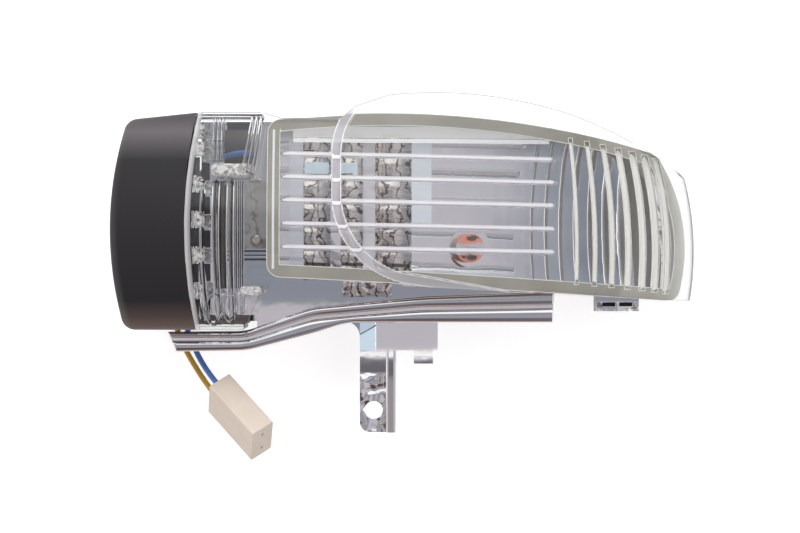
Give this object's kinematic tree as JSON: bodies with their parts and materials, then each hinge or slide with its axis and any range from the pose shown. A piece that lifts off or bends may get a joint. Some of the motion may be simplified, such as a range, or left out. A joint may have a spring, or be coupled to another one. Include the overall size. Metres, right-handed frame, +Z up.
{
  "type": "side repeater lamp",
  "caption": "Door-mirror turn signal lamp: clear ribbed lens over a metallised reflector, black end cap, rail with screw tab, bulb in a twist holder, wire pair and nylon connector.",
  "frame": {"origin": "centre of the fixing tab's screw hole, on the tab's front face", "axes": "+X along the lamp to its wrapped outer end, +Z up, lens facing -Y"},
  "size_m": [0.2074, 0.0616, 0.1296],
  "materials": {
    "clear_lens": "clear moulded acrylic",
    "weld": "beige welded joint seen through the lens",
    "metallised": "vacuum-metallised plastic",
    "black_plastic": "black moulded plastic with a soft sheen",
    "amber_glass": "amber bulb glass",
    "holder_plastic": "black moulded plastic",
    "seal_rubber": "black rubber",
    "contact_brass": "stamped brass",
    "yellow_insulation": "yellow wire insulation",
    "blue_insulation": "blue wire insulation",
    "nylon": "natural nylon, slightly translucent"
  },
  "bodies": {
    "root": {"outer_lens": "clear_lens", "weld_bead": "weld", "reflector_housing": "metallised", "end_cap": "black_plastic", "bulb": "amber_glass", "bulb_holder": "holder_plastic", "holder_seal": "seal_rubber", "contact_lower": "contact_brass", "contact_upper": "contact_brass", "wire_yellow": "yellow_insulation", "wire_blue": "blue_insulation", "connector_housing": "nylon", "terminal_yellow": "contact_brass", "terminal_blue": "contact_brass"}
  },
  "joints": []
}
